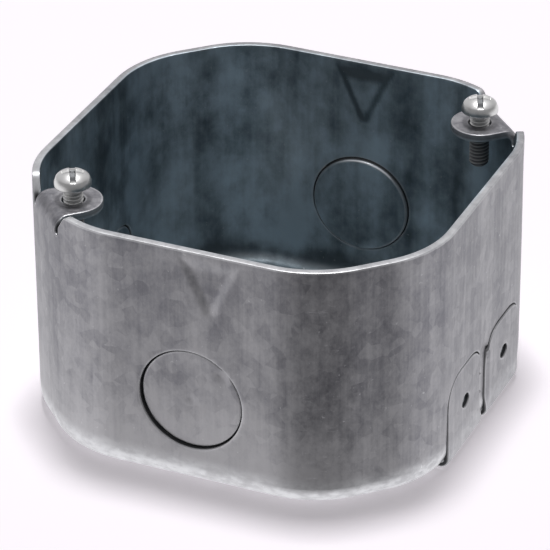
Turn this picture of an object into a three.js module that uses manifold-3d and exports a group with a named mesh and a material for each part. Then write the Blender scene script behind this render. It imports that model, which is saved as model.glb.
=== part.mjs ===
// Drawn-steel octagon junction box with bent-in cover ears, round knockouts, cable pry-outs and
// internal cable clamps. Millimetres, +Z up out of the open side, origin at the middle of the
// underside. The knockout walls face +-X and +-Y, the short ear walls lie on the diagonals.

import * as THREE from 'three';
import { mergeVertices } from 'three/addons/utils/BufferGeometryUtils.js';
import Module from 'manifold-3d';

const wasm = await Module();
wasm.setup();

// ---- driving dimensions -------------------------------------------------------------------

// Shell, a deep-drawn cup of sheet steel.
const sheet = 1.6;
const wallFlats = 90;              // outside, across the knockout walls
const wallLength = 53.684;         // of those walls, to where their planes meet the ear walls'
const depth = 54;
const planCornerRadius = 23;       // outside, seen from above
const bottomRadius = 4.5;          // outside, where the walls turn into the floor

// Ears, tongues of the ear walls bent inwards to take the cover screws.
const earScrewInset = 6.35;        // from the outside of the ear wall to the screw axis
const earHalfWidth = 6;
const earDrop = 1.9;               // below the rim
const earBendRadius = 3;           // outside of the bend
const reliefWidth = 1.5;           // slit on either side of the tongue
const reliefBelowBend = 0.6;
const reliefFlare = 2.6;           // how much wider a slit is at the rim than at its foot

// Round knockouts, slugs left standing in their punched outlines.
const knockoutRadius = 11.1;
const knockoutHeight = 20;         // centre of a wall knockout above the underside
const knockoutWeb = 3.2;           // metal between neighbouring floor knockouts
const punchGap = 0.3;              // the sheared outline round every slug and tab
const slugPush = 0.5;              // how far a slug stands in towards the inside

// Cable pry-outs, pairs of tabs low in the +-X walls that run round into the floor.
const pryoutWidth = 19.2;
const pryoutBar = 2.2;             // sheet left standing between the two
const pryoutShift = 0.8;           // centre of the pair off the middle of its wall
const pryoutHeight = 19.8;
const pryoutCornerRadius = 7;
const pryoutFloorReach = 3.5;      // how far a tab runs into the flat floor
const pryoutBottomRadius = 2;      // outside, sharper than the shell's own bend
const pryoutPush = 0.35;           // how far a tab stands out of its wall
const pryHoleRadius = 1.5;
const pryHoleHeight = 11;

// V-shaped stamped dimples near the rim of the knockout walls.
const dimpleDepth = 0.8;
const dimpleHalfWidth = 5.8;
const dimpleBelowRim = 3.6;
const dimpleLength = 11;
const dimpleTipHalfWidth = 1.2;
const dimpleFrontX = 4.4;
const dimpleBackX = 0.7;
const dimpleDraft = 0.9;           // how much narrower the dimple is at its bottom

// Screws: 8-32, round head, slot with a cross recess.
const screwRadius = 2.08;
const screwHoleClearance = 0.32;
const screwHeadRadius = 3.8;
const screwHeadHeight = 3.05;
const screwHeadEdge = 0.76;        // height at which the head begins to round over
const screwPointLength = 0.8;
const slotWidth = 1.15;
const slotDepth = 1.2;
const crossArm = 2.1;
const crossWidth = 1.2;
const crossDepth = 1.9;
const coverScrewLength = 12.7;
const coverScrewProud = { left: 3.4, right: 2.8 };       // head above its ear
const coverScrewTurn = { left: 118, right: 112 };        // slot direction, degrees from +X

// Cable clamps: a saddle of sheet on the floor behind each pair of pry-outs, and its screw.
const clampSheet = 1.6;
const clampInset = 15;             // screw axis from the outside of the pry-out wall
const clampEndLand = 3.3;          // from a cable's channel to the end of the saddle
const clampHalfWidth = 7;
const clampTravel = 4;
const clampLandHalfWidth = 4.6;    // flat land round the screw
const clampArchRise = 1.4;
const clampLipDrop = 3;
const clampLegHalfWidth = 5.5;
const channelHalfWidth = 6.5;
const toothHeight = 0.9;
const toothCount = 5;
const seatGap = 0.3;               // between pieces that rest on each other
const bossRise = 4.4;
const bossFootRadius = 5;
const bossTopRadius = 3.9;
const bossWall = 1.2;

// Ground boss and fixing holes in the floor.
const groundBossRise = 2;
const fixingHoleRadius = 2.6;
const floorHoleX = 15.5;
const floorHoleY = 12.7;

// Facets per round shape.
const cornerSteps = 6;
const filletSteps = 5;
const knockoutSides = 40;
const holeSides = 20;
const screwSides = 24;
const bendSteps = 6;
const headSteps = 7;
const earTipSteps = 14;
const saddleSteps = 24;

// ---- values worked out from them ----------------------------------------------------------

const eps = 0.5;                   // how far a cutting solid runs past what it cuts
const weldDistance = 1e-4;         // points closer than this are one point
const wallReach = wallFlats / 2;
const earReach = (wallFlats + wallLength) / 2 / Math.SQRT2;
const earScrewReach = earReach - earScrewInset;
const earTop = depth - earDrop;
const screwHoleRadius = screwRadius + screwHoleClearance;
const slugRadius = knockoutRadius - punchGap;
const floorKnockoutOffset = 2 * knockoutRadius + knockoutWeb;
const pryoutSpacing = pryoutWidth + pryoutBar;
const clampX = wallReach - clampInset;
const clampHalfLength = pryoutSpacing / 2 + channelHalfWidth + clampEndLand;
const bossTop = sheet + bossRise;
const clampPlateBottom = bossTop + seatGap + clampTravel;
const clampPlateTop = clampPlateBottom + clampSheet;
const clampScrewSeat = clampPlateTop + seatGap;
const clampScrewLength = clampScrewSeat - bossRise;
const shortWallHalf = wallReach * Math.SQRT2 - earReach;
const longWallHalf = wallLength / 2;
const arcShare = 0.95;             // most of a wall that its two corner arcs may take up
const widestCorner = arcShare * Math.min(shortWallHalf, longWallHalf) / Math.tan(Math.PI / 8);
const cornerRadius = Math.min(planCornerRadius, widestCorner);

// ---- solids from three.js geometry --------------------------------------------------------

// A closed three.js geometry as a solid that can be joined and cut.
function solid(geometry) {
  const bare = geometry.clone();
  bare.deleteAttribute('normal');
  bare.deleteAttribute('uv');
  const merged = mergeVertices(bare, weldDistance);
  const mesh = new wasm.Mesh({
    numProp: 3,
    vertProperties: new Float32Array(merged.attributes.position.array),
    triVerts: new Uint32Array(merged.index.array),
  });
  return new wasm.Manifold(mesh);
}

function geometryOf(manifold) {
  const mesh = manifold.getMesh();
  const geometry = new THREE.BufferGeometry();
  geometry.setAttribute('position', new THREE.BufferAttribute(mesh.vertProperties, 3));
  geometry.setIndex(new THREE.BufferAttribute(mesh.triVerts, 1));
  geometry.computeVertexNormals();
  return geometry;
}

function named(name, manifold, material) {
  const mesh = new THREE.Mesh(geometryOf(manifold), material);
  mesh.name = name;
  return mesh;
}

// A half turn about the box's own axis, for the pieces on the -X side.
function halfTurn(manifold) {
  return manifold.rotate([0, 0, 180]);
}

function block(x0, x1, y0, y1, z0, z1) {
  const box = new THREE.BoxGeometry(x1 - x0, y1 - y0, z1 - z0);
  box.translate((x0 + x1) / 2, (y0 + y1) / 2, (z0 + z1) / 2);
  return solid(box);
}

// An upright round body between two heights, narrowing from one radius to the other.
function taper(x, y, z0, z1, radiusLow, radiusHigh, sides) {
  const bar = new THREE.CylinderGeometry(radiusHigh, radiusLow, z1 - z0, sides);
  bar.rotateX(Math.PI / 2);
  bar.translate(x, y, (z0 + z1) / 2);
  return solid(bar);
}

// An upright round bar between two heights.
function upright(x, y, z0, z1, radius, sides) {
  return taper(x, y, z0, z1, radius, radius, sides);
}

// The space a screw shank takes through one sheet, between two heights.
function screwHole(x, y, z0, z1) {
  return upright(x, y, z0 - eps, z1 + eps, screwHoleRadius, holeSides);
}

// A round bar along Y.
function crossbar(x, z, y0, y1, radius, sides) {
  const bar = new THREE.CylinderGeometry(radius, radius, y1 - y0, sides);
  bar.translate(x, (y0 + y1) / 2, z);
  return solid(bar);
}

// A closed body through rings of points that match one to one, each ring convex.
function loft(rings) {
  const count = rings[0].length;
  const positions = rings.flatMap((ring) => ring.flatMap((p) => [p.x, p.y, p.z]));
  const index = [];
  for (let level = 0; level + 1 < rings.length; level += 1) {
    for (let i = 0; i < count; i += 1) {
      const low = level * count + i;
      const lowNext = level * count + ((i + 1) % count);
      index.push(low, lowNext, lowNext + count, low, lowNext + count, low + count);
    }
  }
  const top = (rings.length - 1) * count;
  for (let i = 1; i + 1 < count; i += 1) {
    index.push(0, i + 1, i);
    index.push(top, top + i, top + i + 1);
  }
  const geometry = new THREE.BufferGeometry();
  geometry.setAttribute('position', new THREE.Float32BufferAttribute(positions, 3));
  geometry.setIndex(index);
  return solid(geometry);
}

// A flat outline given thickness along +Z, its arcs drawn in the given number of steps.
function plate(shape, thickness, steps) {
  return new THREE.ExtrudeGeometry(shape, {
    depth: thickness,
    bevelEnabled: false,
    curveSegments: steps,
  });
}

// A flat outline in the YZ plane carried along X.
function alongX(shape, x0, x1) {
  const bar = plate(shape, x1 - x0, bendSteps);
  const place = new THREE.Matrix4().makeBasis(
    new THREE.Vector3(0, 1, 0), new THREE.Vector3(0, 0, 1), new THREE.Vector3(1, 0, 0));
  bar.applyMatrix4(place);
  bar.translate(x0, 0, 0);
  return solid(bar);
}

// ---- shell --------------------------------------------------------------------------------

// Centre of the plan arc between flat k and flat k + 1; even flats are the knockout walls.
function cornerCentre(k) {
  const angleA = k * Math.PI / 4;
  const angleB = angleA + Math.PI / 4;
  const reachA = (k % 2 ? earReach : wallReach) - cornerRadius;
  const reachB = (k % 2 ? wallReach : earReach) - cornerRadius;
  const span = Math.sin(angleB - angleA);
  return new THREE.Vector2(
    (reachA * Math.sin(angleB) - reachB * Math.sin(angleA)) / span,
    (reachB * Math.cos(angleA) - reachA * Math.cos(angleB)) / span);
}

// The plan outline moved inwards by inset, at height z, anticlockwise from above.
function outline(inset, z) {
  const points = [];
  for (let k = 0; k < 8; k += 1) {
    const centre = cornerCentre(k);
    for (let step = 0; step <= cornerSteps; step += 1) {
      const angle = (k + step / cornerSteps) * Math.PI / 4;
      const reach = cornerRadius - inset;
      points.push(new THREE.Vector3(
        centre.x + reach * Math.cos(angle), centre.y + reach * Math.sin(angle), z));
    }
  }
  return points;
}

// A cup-shaped body: the outline moved in by inset, standing on z0, with a rounded foot.
function cup(inset, z0, z1, footRadius) {
  const rings = [];
  for (let step = filletSteps; step >= 0; step -= 1) {
    const turn = (step / filletSteps) * Math.PI / 2;
    const drawnIn = footRadius * (1 - Math.cos(turn));
    const raised = footRadius * (1 - Math.sin(turn));
    rings.push(outline(inset + drawnIn, z0 + raised));
  }
  rings.push(outline(inset, z1));
  return loft(rings);
}

// The plain drawn cup, with its bottom bend of the given outside radius.
function sheetCup(radius) {
  return cup(0, 0, depth, radius).subtract(cup(sheet, sheet, depth + eps, radius - sheet));
}

// Outline of an ear tongue from above, along +X, with its round tip about the screw axis.
function earPlan() {
  const shape = new THREE.Shape();
  shape.moveTo(earReach + eps, -earHalfWidth);
  shape.lineTo(earReach + eps, earHalfWidth);
  shape.lineTo(earScrewReach, earHalfWidth);
  shape.absarc(earScrewReach, 0, earHalfWidth, Math.PI / 2, 3 * Math.PI / 2, false);
  shape.closePath();
  return solid(plate(shape, depth, earTipSteps));
}

// Section of an ear in its own upright plane: up the wall, round the bend and inwards.
function earSection() {
  const foot = earTop - earBendRadius - reliefBelowBend - sheet;
  const bendX = earReach - earBendRadius;
  const bendZ = earTop - earBendRadius;
  const tip = earScrewReach - earHalfWidth - eps;
  const shape = new THREE.Shape();
  shape.moveTo(earReach, foot);
  shape.lineTo(earReach, bendZ);
  shape.absarc(bendX, bendZ, earBendRadius, 0, Math.PI / 2, false);
  shape.lineTo(tip, earTop);
  shape.lineTo(tip, earTop - sheet);
  shape.lineTo(bendX, earTop - sheet);
  shape.absarc(bendX, bendZ, earBendRadius - sheet, Math.PI / 2, 0, true);
  shape.lineTo(earReach - sheet, foot);
  shape.closePath();
  const width = 2 * earHalfWidth + 2 * eps;
  const bar = plate(shape, width, bendSteps);
  bar.rotateX(Math.PI / 2);
  bar.translate(0, width / 2, 0);
  return solid(bar);
}

// Turns a piece made on +X to the ear wall on the +X+Y or the -X-Y diagonal.
function toEarWall(manifold, side) {
  return manifold.rotate([0, 0, side === 'right' ? 45 : 225]);
}

// Outline of a stamped V at one depth: wide at the top, a blunt tip below.
function dimpleRing(x, y, narrow) {
  const high = depth - dimpleBelowRim - narrow;
  const low = depth - dimpleBelowRim - dimpleLength + narrow;
  const wide = dimpleHalfWidth - narrow;
  const tip = dimpleTipHalfWidth - narrow * dimpleTipHalfWidth / dimpleHalfWidth;
  return [
    new THREE.Vector3(x - wide, y, high), new THREE.Vector3(x - tip, y, low),
    new THREE.Vector3(x + tip, y, low), new THREE.Vector3(x + wide, y, high)];
}

// The space a stamped V pushes through, from the plane at y inwards; side is -1 front, 1 back.
function dimple(x, y, side) {
  const rings = [
    dimpleRing(x, y + side * eps, -eps * dimpleDraft / dimpleDepth),
    dimpleRing(x, y - side * dimpleDepth, dimpleDraft)];
  return side < 0 ? loft(rings.map((ring) => ring.reverse())) : loft(rings);
}

// Outline of a pry-out in the YZ plane, shrunk by gap, for the tab centred at y.
function pryoutShape(y, gap) {
  const half = pryoutWidth / 2 - gap;
  const top = pryoutHeight - gap;
  const corner = pryoutCornerRadius - gap;
  const shape = new THREE.Shape();
  shape.moveTo(y - half, -eps);
  shape.lineTo(y + half, -eps);
  shape.lineTo(y + half, top - corner);
  shape.absarc(y + half - corner, top - corner, corner, 0, Math.PI / 2, false);
  shape.lineTo(y - half + corner, top);
  shape.absarc(y - half + corner, top - corner, corner, Math.PI / 2, Math.PI, false);
  shape.closePath();
  return shape;
}

function pryoutWindow(y, gap) {
  const inner = wallReach - bottomRadius - pryoutFloorReach + gap;
  return alongX(pryoutShape(y, gap), inner, wallReach + eps);
}

// A floor dome pressed up round a screw hole: the metal it adds and the hollow below it.
function bossMetal(x, y, rise) {
  return taper(x, y, sheet / 2, sheet + rise, bossFootRadius, bossTopRadius, holeSides);
}

function bossHollow(x, y, rise) {
  const footRadius = bossFootRadius - bossWall;
  const topRadius = bossTopRadius - bossWall;
  return taper(x, y, -eps, rise, footRadius, topRadius, holeSides);
}

const pryoutCentres = [pryoutShift - pryoutSpacing / 2, pryoutShift + pryoutSpacing / 2];
const floorKnockouts = { front: -floorKnockoutOffset, center: 0, back: floorKnockoutOffset };
const blank = sheetCup(bottomRadius);

// Outline of the notch that frees a tongue and its bend from the ear wall, in the YZ plane.
function reliefShape() {
  const half = earHalfWidth + reliefWidth;
  const foot = earTop - earBendRadius - reliefBelowBend;
  const shape = new THREE.Shape();
  shape.moveTo(-half, foot);
  shape.lineTo(half, foot);
  shape.lineTo(half, earTop - sheet);
  shape.lineTo(half + reliefFlare, depth + eps);
  shape.lineTo(-half - reliefFlare, depth + eps);
  shape.lineTo(-half, earTop - sheet);
  shape.closePath();
  return shape;
}

function addEars(body) {
  const relief = alongX(reliefShape(), earReach - 2 * sheet, earReach + eps);
  const cupSpace = cup(0, 0, depth, bottomRadius);
  const hole = screwHole(earScrewReach, 0, earTop - sheet, earTop);
  const tongue = earSection().intersect(earPlan()).subtract(hole);
  let result = body;
  for (const side of ['left', 'right']) {
    result = result.subtract(toEarWall(relief, side));
    result = result.add(toEarWall(tongue, side).intersect(cupSpace));
  }
  return result;
}

function stampDimples(body) {
  const inner = wallReach - sheet;
  return body
    .add(dimple(dimpleFrontX, -inner, -1)).add(dimple(dimpleBackX, inner, 1))
    .subtract(dimple(dimpleFrontX, -wallReach, -1)).subtract(dimple(dimpleBackX, wallReach, 1));
}

function raiseBosses(body) {
  const bosses = [
    { x: clampX, y: pryoutShift, rise: bossRise },
    { x: -clampX, y: -pryoutShift, rise: bossRise },
    { x: floorHoleX, y: floorHoleY, rise: groundBossRise }];
  let result = body;
  for (const boss of bosses) {
    result = result.add(bossMetal(boss.x, boss.y, boss.rise));
    result = result.subtract(bossHollow(boss.x, boss.y, boss.rise));
    result = result.subtract(screwHole(boss.x, boss.y, 0, sheet + boss.rise));
  }
  return result;
}

function punchFloor(body) {
  const throughBend = sheet + bottomRadius;
  let result = body;
  for (const y of Object.values(floorKnockouts)) {
    result = result.subtract(upright(0, y, -eps, throughBend, knockoutRadius, knockoutSides));
  }
  for (const side of [-1, 1]) {
    const x = -side * floorHoleX;
    const y = side * floorHoleY;
    result = result.subtract(upright(x, y, -eps, sheet + eps, fixingHoleRadius, holeSides));
  }
  return result;
}

function punchWalls(body) {
  const outer = -wallReach - eps;
  const inner = -wallReach + sheet + eps;
  const hole = crossbar(0, knockoutHeight, outer, inner, knockoutRadius, knockoutSides);
  let result = body.subtract(hole).subtract(halfTurn(hole));
  for (const y of pryoutCentres) {
    const window = pryoutWindow(y, 0);
    result = result.subtract(window).subtract(halfTurn(window));
  }
  return result;
}

function makeShell() {
  return punchWalls(punchFloor(raiseBosses(stampDimples(addEars(blank)))));
}

// ---- slugs and tabs -----------------------------------------------------------------------

function makeWallSlug() {
  const outer = -wallReach + slugPush;
  return crossbar(0, knockoutHeight, outer, outer + sheet, slugRadius, knockoutSides);
}

function makeFloorSlug(y) {
  return upright(0, y, slugPush, slugPush + sheet, slugRadius, knockoutSides);
}

// A pry-out tab is the piece of wall, bottom bend and floor inside its punched outline, struck
// sharper into the corner and standing a little out of the wall.
function makePryout(y) {
  const pryHole = new THREE.CylinderGeometry(pryHoleRadius, pryHoleRadius, 3 * sheet, holeSides);
  pryHole.rotateZ(Math.PI / 2);
  pryHole.translate(wallReach - sheet / 2, y, pryHoleHeight);
  const tab = sheetCup(pryoutBottomRadius).intersect(pryoutWindow(y, punchGap));
  return tab.subtract(solid(pryHole)).translate([pryoutPush, 0, 0]);
}

// ---- screws -------------------------------------------------------------------------------

// A round-head screw standing on z = 0 under its head, point down, slot along +X.
function makeScrew(length) {
  const profile = [
    new THREE.Vector2(0, -length), new THREE.Vector2(screwRadius - screwPointLength, -length),
    new THREE.Vector2(screwRadius, screwPointLength - length), new THREE.Vector2(screwRadius, 0),
    new THREE.Vector2(screwHeadRadius, 0)];
  const crown = screwHeadHeight - screwHeadEdge;
  for (let step = 0; step < headSteps; step += 1) {
    const turn = (step / headSteps) * Math.PI / 2;
    profile.push(new THREE.Vector2(
      screwHeadRadius * Math.cos(turn), screwHeadEdge + crown * Math.sin(turn)));
  }
  profile.push(new THREE.Vector2(0, screwHeadHeight));
  const lathe = new THREE.LatheGeometry(profile, screwSides);
  lathe.rotateX(Math.PI / 2);
  const slotFloor = screwHeadHeight - slotDepth;
  const crossFloor = screwHeadHeight - crossDepth;
  const high = screwHeadHeight + eps;
  const wide = screwHeadRadius + eps;
  return solid(lathe)
    .subtract(block(-wide, wide, -slotWidth / 2, slotWidth / 2, slotFloor, high))
    .subtract(block(-crossArm, crossArm, -crossWidth / 2, crossWidth / 2, crossFloor, high))
    .subtract(block(-crossWidth / 2, crossWidth / 2, -crossArm, crossArm, crossFloor, high));
}

function makeCoverScrew(side) {
  const reach = earScrewReach / Math.SQRT2 * (side === 'right' ? 1 : -1);
  return makeScrew(coverScrewLength)
    .rotate([0, 0, coverScrewTurn[side]])
    .translate([reach, reach, earTop + coverScrewProud[side]]);
}

function makeClampScrew() {
  return makeScrew(clampScrewLength).translate([clampX, pryoutShift, clampScrewSeat]);
}

// ---- cable clamp --------------------------------------------------------------------------

// Height of the underside of the saddle at a distance from its screw: a flat land in the
// middle, and an arch over each cable.
function saddleHeight(offset) {
  const archHalf = (clampHalfLength - clampLandHalfWidth) / 2;
  const along = (Math.abs(offset) - clampLandHalfWidth) / archHalf;
  return clampPlateBottom + (along > 0 ? clampArchRise * (1 - Math.cos(along * Math.PI)) / 2 : 0);
}

function saddlePlate() {
  const under = Array.from({ length: saddleSteps + 1 }, (_, i) => {
    const offset = clampHalfLength * (2 * i / saddleSteps - 1);
    return new THREE.Vector2(pryoutShift + offset, saddleHeight(offset));
  });
  const over = under.map((point) => new THREE.Vector2(point.x, point.y + clampSheet));
  const shape = new THREE.Shape([...under, ...over.reverse()]);
  return alongX(shape, clampX - clampHalfWidth, clampX + clampHalfWidth);
}

// The toothed lip that bites one cable, on the wall side of the saddle.
function saddleLip(y) {
  const shape = new THREE.Shape();
  const root = clampPlateBottom + clampSheet / 2;
  const tip = clampPlateBottom - clampLipDrop;
  const pitch = 2 * channelHalfWidth / toothCount;
  shape.moveTo(y - channelHalfWidth, root);
  for (let tooth = 0; tooth < toothCount; tooth += 1) {
    const start = y - channelHalfWidth + tooth * pitch;
    shape.lineTo(start, tip + toothHeight);
    shape.lineTo(start + pitch / 2, tip);
  }
  shape.lineTo(y + channelHalfWidth, tip + toothHeight);
  shape.lineTo(y + channelHalfWidth, root);
  shape.closePath();
  return alongX(shape, clampX + clampHalfWidth - clampSheet, clampX + clampHalfWidth);
}

// The leg at one end of the saddle that stands it on the floor when it is tightened down.
function saddleLeg(side) {
  const foot = sheet + seatGap + clampTravel;
  const outer = pryoutShift + side * clampHalfLength;
  const inner = outer - side * clampSheet;
  return block(
    clampX - clampLegHalfWidth, clampX + clampLegHalfWidth,
    Math.min(outer, inner), Math.max(outer, inner),
    foot, clampPlateBottom + clampSheet / 2);
}

function makeClamp() {
  const hole = screwHole(clampX, pryoutShift, clampPlateBottom, clampPlateTop);
  let saddle = saddlePlate().subtract(hole);
  for (const side of [-1, 1]) saddle = saddle.add(saddleLeg(side));
  for (const y of pryoutCentres) saddle = saddle.add(saddleLip(y));
  return saddle;
}

// ---- materials ----------------------------------------------------------------------------

function zincSheet() {
  return new THREE.MeshStandardMaterial({ color: 0x8f9094, roughness: 0.42, metalness: 1 });
}

function zincCutSheet() {
  return new THREE.MeshStandardMaterial({ color: 0x85878b, roughness: 0.46, metalness: 1 });
}

function brightPlate() {
  return new THREE.MeshStandardMaterial({ color: 0xc9c9c4, roughness: 0.28, metalness: 1 });
}

function clampPlate() {
  return new THREE.MeshStandardMaterial({ color: 0x9b9c9e, roughness: 0.4, metalness: 1 });
}

// ---- the assembly -------------------------------------------------------------------------

const box = new THREE.Group();
box.add(named('box_shell', makeShell(), zincSheet()));

const wallSlug = makeWallSlug();
box.add(named('knockout_wall_front', wallSlug, zincCutSheet()));
box.add(named('knockout_wall_back', halfTurn(wallSlug), zincCutSheet()));
for (const [place, y] of Object.entries(floorKnockouts)) {
  box.add(named(`knockout_floor_${place}`, makeFloorSlug(y), zincCutSheet()));
}

for (const [i, y] of pryoutCentres.entries()) {
  const tab = makePryout(y);
  box.add(named(`pryout_right_${i ? 'back' : 'front'}`, tab, zincCutSheet()));
  box.add(named(`pryout_left_${i ? 'front' : 'back'}`, halfTurn(tab), zincCutSheet()));
}

for (const side of ['left', 'right']) {
  box.add(named(`cover_screw_${side}`, makeCoverScrew(side), brightPlate()));
  const clamp = makeClamp();
  const screw = makeClampScrew();
  box.add(named(`cable_clamp_${side}`, side === 'right' ? clamp : halfTurn(clamp), clampPlate()));
  box.add(named(`clamp_screw_${side}`, side === 'right' ? screw : halfTurn(screw), brightPlate()));
}

export default box;
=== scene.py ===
# %% [markdown]
# # A drawn-steel octagon junction box
#
# The box is a deep-drawn cup of zinc-coated sheet with two bent-in ears, punched knockouts and
# pry-out tabs, two cable clamps inside and two cover screws started in the ears. Its frame comes
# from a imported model, which already has every piece in its place. This lesson rebuilds each piece
# with the detail that sheet metal really has, and keeps it on the body that carries it.

import math

import bmesh
import bpy
import numpy as np
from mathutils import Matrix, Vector, geometry


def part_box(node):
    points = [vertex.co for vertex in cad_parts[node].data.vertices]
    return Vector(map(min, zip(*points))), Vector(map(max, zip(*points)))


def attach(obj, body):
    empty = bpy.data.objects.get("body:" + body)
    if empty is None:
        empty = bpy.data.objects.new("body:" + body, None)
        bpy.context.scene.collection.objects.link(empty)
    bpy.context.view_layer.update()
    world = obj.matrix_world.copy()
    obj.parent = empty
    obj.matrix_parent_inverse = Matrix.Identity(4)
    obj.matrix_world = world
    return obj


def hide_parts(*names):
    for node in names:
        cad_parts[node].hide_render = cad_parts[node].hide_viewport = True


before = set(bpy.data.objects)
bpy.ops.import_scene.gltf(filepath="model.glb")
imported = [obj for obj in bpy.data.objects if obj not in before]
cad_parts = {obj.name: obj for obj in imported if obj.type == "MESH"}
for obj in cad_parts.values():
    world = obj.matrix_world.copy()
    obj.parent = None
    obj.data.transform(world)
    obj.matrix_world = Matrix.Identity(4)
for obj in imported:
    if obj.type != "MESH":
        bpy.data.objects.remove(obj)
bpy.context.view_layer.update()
MM = 0.001

# %% [markdown]
# ## Sizes
#
# Lengths are in millimetres until a mesh is made. The walls' reach, the depth and the places of
# the loose pieces are read from the frame. What a bounding box can't tell, such as the thickness
# of the sheet and the radii of its bends, is set here once.


# %% Read and set the sizes
def box_mm(node):
    """A node's lowest and highest corner in millimetres, as arrays."""
    low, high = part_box(node)
    return np.array(low) / MM, np.array(high) / MM


shell_high = box_mm("box_shell")[1]
SHEET = 1.6
WALL_REACH = shell_high[1]
DEPTH = shell_high[2]
EAR_REACH = 50.8
CORNER = 23.0
BEND = 4.5
EAR_TOP = DEPTH - 1.9
EAR_BEND = 3.0
EAR_HALF = 6.0
EAR_SCREW_REACH = 44.45
print("walls", WALL_REACH, "mm from the middle, depth", DEPTH, "mm")

# %% [markdown]
# ## The blank
#
# A press makes such a box from one flat sheet, and the mesh is made the same way. A flat blank is
# cut to its outline with every hole in it, and a formula then forms it: the middle stays flat as
# the floor, a ring bends up, and the rest becomes the walls. This keeps each cut edge exactly
# where the die puts it, which Boolean cuts in a bent mesh would not.
#
# The eight corner arcs have their centres on a smaller octagon, which is set out first.

# %% Octagon of corner centres
TURN = np.arange(8) * np.pi / 4
OUT = np.stack([np.cos(TURN), np.sin(TURN)], 1)
ALONG = np.stack([-np.sin(TURN), np.cos(TURN)], 1)
REACH = np.where(np.arange(8) % 2, EAR_REACH, WALL_REACH)
OTHER = np.where(np.arange(8) % 2, WALL_REACH, EAR_REACH)
WALL_HALF = OTHER * math.sqrt(2) - REACH
FLAT_HALF = WALL_HALF - CORNER * math.tan(math.pi / 8)
EAR_WALLS = (1, 5)
print("flat half-lengths of the walls:", FLAT_HALF[:2].round(2))

# %% [markdown]
# ## From the blank to a wall and back
#
# A point of the blank belongs to the nearest point of that octagon, its foot, and how far it lies
# beyond the foot says how high up it ends. This could be looked up wall by wall, but one distance
# formula covers flats and corner arcs alike, so the sheet has no seam where they meet. The second
# function goes the other way and lays out holes and grids by their place on a finished wall.


# %% Place points on the blank
def stand(blank, bend):
    """Which wall each blank point belongs to, its foot on the octagon, the outward direction
    there, and its rise: the distance beyond the line where the floor begins to bend."""
    along = np.clip(blank @ ALONG.T, -FLAT_HALF, FLAT_HALF)
    feet = OUT * (REACH - CORNER)[:, None] + along[..., None] * ALONG
    gaps = blank[:, None] - feet
    far = np.linalg.norm(gaps, axis=2)
    wall = far.argmin(1)
    rows = np.arange(len(blank))
    level = (blank @ OUT.T - (REACH - CORNER)).max(1)
    inside = level <= 0
    away = np.where(inside, 1.0, far[rows, wall])
    out = np.where(inside[:, None], OUT[wall], gaps[rows, wall] / away[:, None])
    rise = np.where(inside, level, far[rows, wall]) - (CORNER - bend)
    return (out @ OUT.T).argmax(1), feet[rows, wall], out, rise


def on_blank(wall, along, rise, bend=BEND):
    """Blank points from a wall's number, the distance along it from its middle, and the rise.
    Past the flat of the wall, the distance goes on round the corner arc."""
    wall = np.broadcast_to(wall, along.shape)
    straight = np.clip(along, -FLAT_HALF[wall], FLAT_HALF[wall])
    turn = (along - straight) / CORNER
    foot = OUT[wall] * (REACH[wall] - CORNER)[:, None] + straight[:, None] * ALONG[wall]
    out = np.cos(turn)[:, None] * OUT[wall] + np.sin(turn)[:, None] * ALONG[wall]
    return foot + out * (CORNER - bend + rise)[:, None]


def rise_of(height, bend=BEND):
    """The rise on the blank of a point at this height of the wall."""
    return height - bend + bend * math.pi / 2


print("blank over a long wall:", round(WALL_REACH - BEND + rise_of(DEPTH), 1), "mm from the middle")

# %% [markdown]
# ## Pressed features
#
# The punch also leaves shapes that are not bends: a V-shaped dimple near the rim of the two
# knockout walls, three round bosses in the floor, and a shallow channel between the pry-outs. Each
# is a smooth step of depth, which keeps the sheet one surface. The whole sheet also carries a
# faint waviness from drawing, which is what breaks up its reflections.


# %% Dimple
def smooth(x):
    """Zero below 0, one above 1, and an S-curve between."""
    x = np.clip(x, 0, 1)
    return x * x * (3 - 2 * x)


DIMPLE_TOP = DEPTH - 0.5
DIMPLE_LOW = DEPTH - 14.4
DIMPLE_DEPTH = 0.42
DIMPLE_FLANK = 2.4
# The side of the box that each dimple is on, and its distance from the wall's middle.
DIMPLES = ((-1, 4.4), (1, 0.7))


def dimple_share(x, height, middle):
    """A V from 0 to 1: full depth a little way in from its flanks and its tip, and fading more
    slowly towards the rim."""
    share = (height - DIMPLE_LOW) / (DIMPLE_TOP - DIMPLE_LOW)
    half = 1.3 + 6.2 * share
    to_side = (half - np.abs(x - middle)) * 0.9
    inward = np.minimum(to_side, height - DIMPLE_LOW) / DIMPLE_FLANK
    return smooth(np.minimum(inward, (DIMPLE_TOP - height) / 4.2))


def dimple_flank(points):
    """One on the flanks of the dimples and zero elsewhere; the finish paints shade on their inner
    face and a highlight on their outer face.
    """
    x, y, z = points.T
    flank = np.zeros(len(points))
    for side, middle in DIMPLES:
        share = dimple_share(x, z, middle) * (side * y > 40)
        flank += 4 * share * (1 - share)
    return flank


print("dimples are", round(DIMPLE_TOP - DIMPLE_LOW, 1), "mm tall and", DIMPLE_DEPTH, "mm deep")

# %% [markdown]
# The punch's depths add up in one function of the blank. The bosses under the clamp screws rise
# furthest, so that a thin floor still has room for the screws' ends.

# %% Depth of everything pressed
# Each boss by its place on the floor and its rise.
BOSSES = ((30.0, 0.8, 4.4), (-30.0, -0.8, 4.4), (15.5, 12.7, 2.0))
PRYOUT_BAR = 0.8
BAR_HALF = 2.0
BAR_TOP = 20.0
BAR_DEPTH = 0.45
WAVINESS = 0.035


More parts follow.
